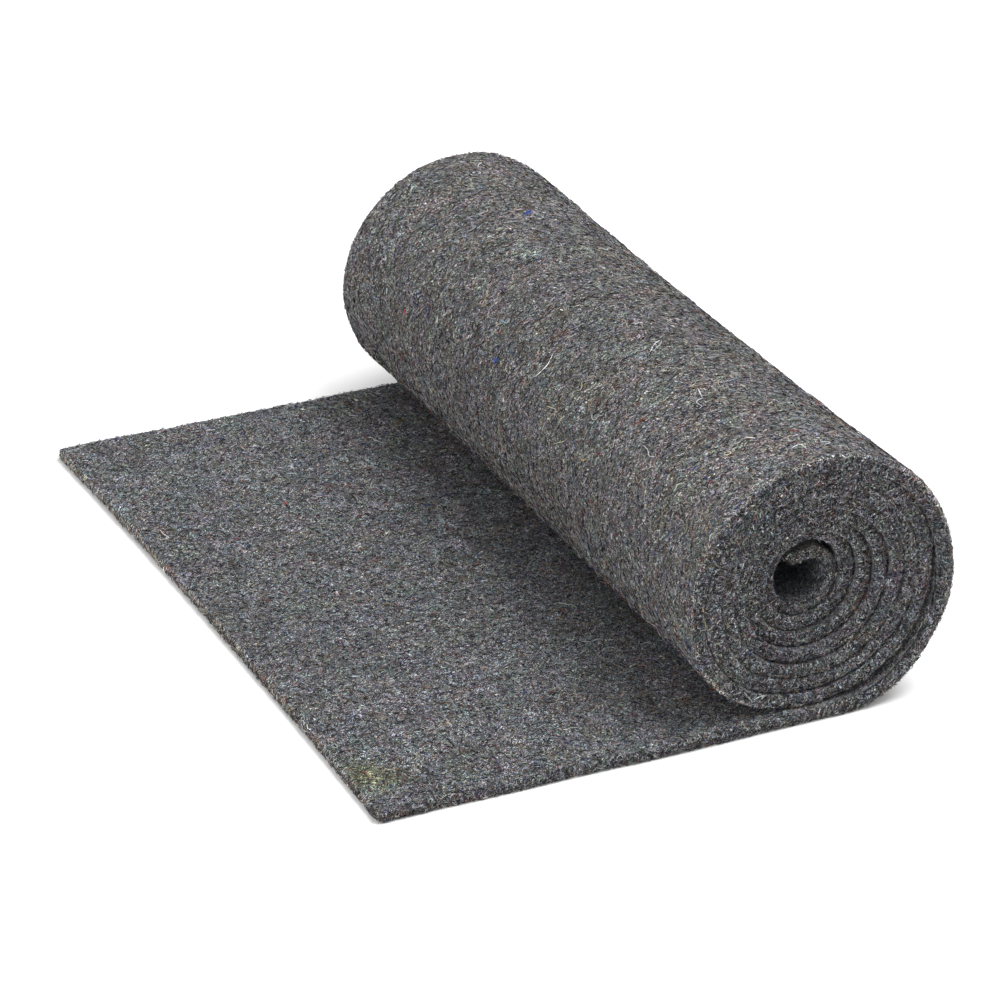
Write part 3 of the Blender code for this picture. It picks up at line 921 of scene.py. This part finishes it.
# Hairs and tufts that stand out: tone, width in mm, and X, Y and Z in mm of the places that each runs through
STRAYS = (
    ("white", 0.5, 74.4, -81.7, 158, 80.4, -75.4, 159.6, 85.6, -70.7, 160.4, 88.9, -69.7, 160.7, 87.4,
     -73.5, 160.7, 83.9, -76.1, 160.3, 79.4, -78.4, 159.4),
    ("white", 0.7, 78.7, -136.5, 160.6, 77.3, -142.4, 160.5, 75.6, -148.2, 160.2),
    ("sky", 0.55, 105.2, -137.9, 162.6, 99.8, -139.8, 162.9, 94.6, -141.1, 162.9, 90.1, -145, 162.8),
    ("cream", 0.5, 94.8, -134.6, 162.7, 91.3, -138.1, 162.6, 89.4, -143.8, 162.7),
    ("tan", 0.5, 85.8, -160.8, 162.9, 81.6, -159.4, 162.1, 78.6, -156, 161.2),
    ("white", 0.6, 72.7, -206.6, 161.5, 74.1, -210, 162.1, 76, -212.6, 162.6),
    ("cream", 0.5, 57.2, -209.8, 155.1, 58, -212.5, 155.7, 60, -213.5, 156.8, 60, -210.6, 156.5, 57.9,
     -209.4, 155.4),
    ("blue", 0.9, 42.1, -200.5, 143.5, 43.5, -200.9, 144.7, 45.1, -200.9, 146.2),
    ("blue", 0.8, 43.4, -215.1, 146.1, 43.3, -218.3, 146.3),
    ("red", 0.9, 42.4, -220.9, 145.4, 43.5, -221.8, 146.5),
    ("cream", 0.5, 89.8, -37.7, 160, 89.4, -42.5, 160.1, 88.4, -48.5, 160.2),
    ("pale", 0.5, 84.8, -60.4, 159.9, 82.2, -61.9, 159.5, 80, -65.3, 159.1),
    ("tan", 0.5, 43.4, -146.1, 142.6, 46.5, -148.4, 145.2, 47.5, -152.6, 146.2),
    ("pale", 0.5, 56.9, -160.4, 152.7, 59.4, -161.2, 154.1, 62.4, -162.1, 155.6),
    ("sky", 0.5, 25.2, -85.4, 115.8, 23.6, -86.9, 112.4, 23.3, -91.8, 112.1),
    ("yellow", 0.5, 22.1, -98.6, 109.7, 22.3, -103.5, 110.3, 23.1, -105.4, 112.1),
    ("rust", 0.6, 41.8, -130, 140.6, 44.7, -130.5, 143.4, 48.2, -132.2, 146.2),
    ("cream", 0.45, 78.4, -232.7, 163.7, 80.5, -229.9, 164.1, 83.2, -229.8, 164.6, 83.9, -234.3, 164.9, 82,
     -238.9, 164.7, 78.5, -241.4, 164, 76.5, -239.2, 163.4, 77.4, -234.6, 163.6),
    ("yellow", 0.8, 90.4, -223.5, 165.4, 93.1, -223.4, 165.6),
    ("cream", 0.65, 70.5, -257.4, 154, 72.9, -256.7, 150.6, 74.8, -256.9, 148.4),
    ("pale", 0.45, 77.9, -256.7, 150.6, 81.7, -256.6, 150.8, 84.9, -256.6, 151.2),
    ("blue", 1, 72.1, -257.6, 155.3, 73.3, -257.7, 156),
    ("white", 0.65, 144.8, -252.4, 78.2, 144.4, -252, 74.9, 143.8, -248.3, 69.5, 142.5, -247.3, 65.1),
    ("cream", 0.6, 37.4, -221.3, 140.2, 39.2, -222.8, 142.1),
    ("pale", 0.5, 69.9, -247.6, 113.8, 73.7, -247.8, 116.6, 76.9, -248, 118.8),
    ("white", 0.5, 36.4, -249.9, 141, 36.4, -253.9, 141.3),
    ("white", 0.45, 84.9, -237.5, 165.2, 88.8, -236.2, 165.7, 92, -236.2, 166, 92.3, -240.4, 166.2, 91.6,
     -244.7, 166.4),
    ("pale", 0.5, 101.7, -242, 166.3, 107, -241.9, 165.8, 107.8, -248.5, 166.1),
    ("tan", 0.6, 47.5, 83.7, 141.3, 46.2, 78.7, 140.2, 42.5, 75.4, 136.6, 38.9, 72.1, 133, 40.2, 70.7,
     134.4, 40.9, 67.4, 135.1),
    ("sky", 0.8, 40.2, 49.2, 134, 40.4, 44.7, 134.2, 40.6, 39.5, 134.6),
    ("cream", 0.5, 37.8, 47.5, 131.1, 39.4, 46.3, 133),
    ("blue", 1, 95.2, 132.4, 160.2, 98.8, 133.9, 160.3, 102.5, 135, 160.2),
    ("blue", 1.2, 99.9, 137.6, 160.2, 101.9, 136, 160.2, 101.8, 132.8, 160.1),
    ("red", 0.8, 22.3, 149.8, 103.6, 21.5, 149.8, 100.9, 21.3, 144.9, 100),
    ("tan", 0.6, 53, 201.2, 146.1, 53.1, 193.8, 146.1),
    ("tan", 0.5, 20.2, 218.9, 98.3, 20.9, 206, 99.2, 20.8, 198.6, 98),
    ("white", 0.55, 108.1, 218.9, 160.8, 103.7, 215.5, 161.2, 101.3, 210.9, 161),
    ("cream", 0.45, 35.8, 111, 129.4, 37.8, 110.7, 131.9, 40.1, 109.2, 134.4),
    ("sky", 0.6, 19.7, 195.6, 92, 20.2, 186.5, 94.5),
    ("brown", 0.5, 26.9, 127.9, 114.4, 27.2, 121.1, 115.1, 26.2, 117.7, 113.3),
    ("tan", 0.5, 53.4, 123.5, 145.7, 52.4, 120.6, 145, 50.4, 117.8, 143.8),
    ("blue", 1.5, 26.4, 29.9, 114.9, 27.4, 28.6, 117, 28.6, 28.3, 119.2),
    ("blue", 1.1, 27.6, 31.6, 117, 27.7, 26.9, 117.3),
    ("white", 0.7, 43.8, -17.5, 138.9, 41.2, -19.7, 136.7, 38.6, -21.2, 134.2, 34.3, -19.8, 129, 31.1,
     -16.1, 124),
    ("cream", 0.5, 29.6, 16.8, 120.1, 28.2, 15.6, 117.5, 27.6, 10.4, 116.6),
    ("tan", 0.55, 30, -9.5, 121.7, 28.6, -9.8, 119.1, 27.4, -10.4, 116.9),
    ("cream", 0.5, 27.3, -42, 117.5, 28.1, -47.2, 118.9, 28.3, -53.7, 119.4, 26.9, -52.5, 116.9, 26.6,
     -48.4, 116.1),
    ("cream", 0.6, 20.9, -65.6, 104, 22, -70.7, 107.4, 23, -75.3, 109.9, 24.3, -77.4, 112.9),
    ("cream", 0.5, 25.6, 96.3, 46.8, 27.4, 95.7, 43.2, 28.6, 92.2, 41),
    ("tan", 0.5, 60.9, 20.4, 150.2, 61.6, 16.3, 150.7, 61.1, 11.1, 150.7),
    ("brown", 0.45, 44.7, -6.1, 139.1, 49.2, -7.7, 142.9, 53.5, -7.1, 146.1, 56.5, -9.2, 148.1),
    ("white", 0.9, 62.8, 12.1, 151.7, 63.4, 9.2, 152.1),
    ("yellow", 0.9, 21.4, -256.5, 86.7, 22.2, -256.3, 84.6, 23, -255.4, 83.2),
    ("yellow", 0.5, 23.4, -254.6, 79.5, 23.9, -256.3, 75.5, 24.3, -254.6, 69.6),
    ("white", 0.6, 55.8, -257.7, 20.2, 60.5, -257.4, 21.4, 63.2, -257.1, 21),
    ("white", 0.5, 48.6, -257.4, 27.8, 55.2, -257.6, 18.4),
    ("red", 0.7, 19.3, -256.9, 111.9, 21.3, -257, 110.6),
    ("red", 1, -80.8, 107.5, 8.2, -80.8, 101.3, 8.3),
    ("red", 0.8, -127.3, -1.6, 7.8, -127.5, -5.8, 7.8),
    ("sky", 0.8, -149.3, 101.7, 8.1, -149.1, 97.4, 8),
    ("white", 0.5, -72.6, 115.8, 8, -69, 120.2, 8.1),
    ("blue", 0.8, -123.6, 61.9, 8.1, -123.5, 58.9, 8.1),
)


def smooth_path(corners, count):
    """So many points on a smooth curve through the corners."""
    run = np.concatenate([[0], np.cumsum(np.linalg.norm(np.diff(corners, axis=0), axis=1))])
    slope = np.gradient(corners, run, axis=0)
    at = np.linspace(0, run[-1], count)
    i = np.clip(np.searchsorted(run, at, side="right") - 1, 0, len(run) - 2)
    span = (run[i + 1] - run[i])[:, None]
    t = (at - run[i])[:, None] / span
    ease = t * t * (3 - 2 * t)
    bend = span * t * (1 - t) * (slope[i] * (1 - t) - slope[i + 1] * t)
    return corners[i] * (1 - ease) + corners[i + 1] * ease + bend


def place_hairs(material):
    """The hairs that stand out: three-sided, and drawn out to a point at both ends."""
    count = HAIR_POINTS
    angle = np.radians([90, 210, 330])[:, None]
    vertices, faces, picks = [], [], []
    for tone, width, *places in STRAYS:
        path = smooth_path(np.array(places).reshape(-1, 3) / 1000, count)
        along = np.gradient(path, axis=0)
        side = np.cross(along, (0.1, 0.2, 1))
        side /= np.linalg.norm(side, axis=1)[:, None]
        up = np.cross(side, along)
        up /= np.linalg.norm(up, axis=1)[:, None]
        # Widest at the middle, and there a sixth finer than the width given
        share = np.linspace(0, 1, count)
        radius = width / 1200 * np.sqrt(share * (1 - share))
        rings = [
            path[i] + radius[i] * (np.cos(angle) * side[i] + np.sin(angle) * up[i])
            for i in range(1, count - 1)
        ]
        first = len(vertices)
        tip, end = first + 3 * (count - 2), first + 3 * (count - 2) + 1
        vertices += [*np.concatenate(rings).tolist(), path[0].tolist(), path[-1].tolist()]
        for k in range(3):
            after = (k + 1) % 3
            faces.append((tip, first + k, first + after))
            faces.append((end, tip - 3 + after, tip - 3 + k))
            for ring in range(first, tip - 3, 3):
                faces.append((ring + k, ring + 3 + k, ring + 3 + after, ring + after))
        picks += [STRAY_TONES[tone]] * (3 * (count - 2) + 2)
    mesh = bpy.data.meshes.new("hairs_that_stand_out")
    mesh.from_pydata(vertices, [], faces)
    mesh.materials.append(material)
    add_attribute(mesh, "pick", picks)
    add_attribute(mesh, "light", np.full(len(picks), STRAY_LIGHT))
    add_attribute(mesh, "laid_flat", vertices)
    fibre_map(mesh, 3 * count - 4)
    return put_in_scene("hairs_that_stand_out", mesh)


# The camera stands where the photograph was taken from
TARGET = Vector((0.0150, -0.0059, 0.0403))
DISTANCE = 2.8465
AZIMUTH, ELEVATION, ROLL = -25.59, 27.0, 0.37
LENS, SENSOR = 168.0, 36.0


def make_camera():
    az, el, roll = (math.radians(d) for d in (AZIMUTH, ELEVATION, ROLL))
    back = Vector((math.sin(az) * math.cos(el), -math.cos(az) * math.cos(el), math.sin(el)))
    right = Vector((math.cos(az), math.sin(az), 0))
    up = back.cross(right)
    right, up = math.cos(roll) * right + math.sin(roll) * up, math.cos(roll) * up - math.sin(roll) * right
    turned = Matrix((right, up, back)).transposed().to_4x4()
    data = bpy.data.cameras.new("camera")
    data.lens, data.sensor_width = LENS, SENSOR
    camera = put_in_scene("camera", data)
    camera.matrix_world = Matrix.Translation(TARGET + DISTANCE * back) @ turned
    bpy.context.scene.camera = camera


def make_light(name, place, aim, size, watts):
    data = bpy.data.lights.new(name, "AREA")
    data.shape, data.size, data.energy = "DISK", size, watts
    facing = (Vector(aim) - Vector(place)).to_track_quat("-Z", "Y").to_matrix().to_4x4()
    put_in_scene(name, data).matrix_world = Matrix.Translation(place) @ facing


FLOOR_REACH = 8.0
FLOOR_TONE = 0.88
SKY_LIGHT = 0.89


def make_studio():
    """A white floor in soft light, brightest from above on the right."""
    mesh = bpy.data.meshes.new("floor")
    corners = [(x * FLOOR_REACH, y * FLOOR_REACH, 0) for x, y in ((-1, -1), (1, -1), (1, 1), (-1, 1))]
    mesh.from_pydata(corners, [], [(0, 1, 2, 3)])
    floor = put_in_scene("floor", mesh)
    floor.location.z = -0.0001   # just under the felt
    tone = (FLOOR_TONE, FLOOR_TONE, FLOOR_TONE, 1)
    white = {"Base Color": tone, "Roughness": 1.0, "Specular IOR Level": 0.0}
    mesh.materials.append(Shade("white_floor").surface(white))

    world = bpy.data.worlds.new("studio")
    bpy.context.scene.world = world
    world.use_nodes = True
    sky = world.node_tree.nodes["Background"]
    sky.inputs["Color"].default_value = (1, 1, 1, 1)
    sky.inputs["Strength"].default_value = SKY_LIGHT
    make_light("soft_key", (0.8, -0.35, 2.3), (0, 0, 0.05), 1.7, 62)
    make_light("left_fill", (-2.2, -0.9, 0.7), (0, 0, 0.08), 1.4, 20)
    bpy.context.scene.view_settings.view_transform = "Standard"


sheet = make_sheet()
sheet.data.materials.append(felt_material())
hair_material = fibre_material("hairs", HAIR_TONES, 1.35)
fibres = [*make_fibres(sheet), make_hairs(sheet, hair_material), place_hairs(hair_material)]
for mask in MASKS:
    sheet.data.attributes.remove(sheet.data.attributes[mask])

for piece in [sheet, *fibres]:
    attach(piece, "root")
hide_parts("felt_roll")

make_camera()
make_studio()
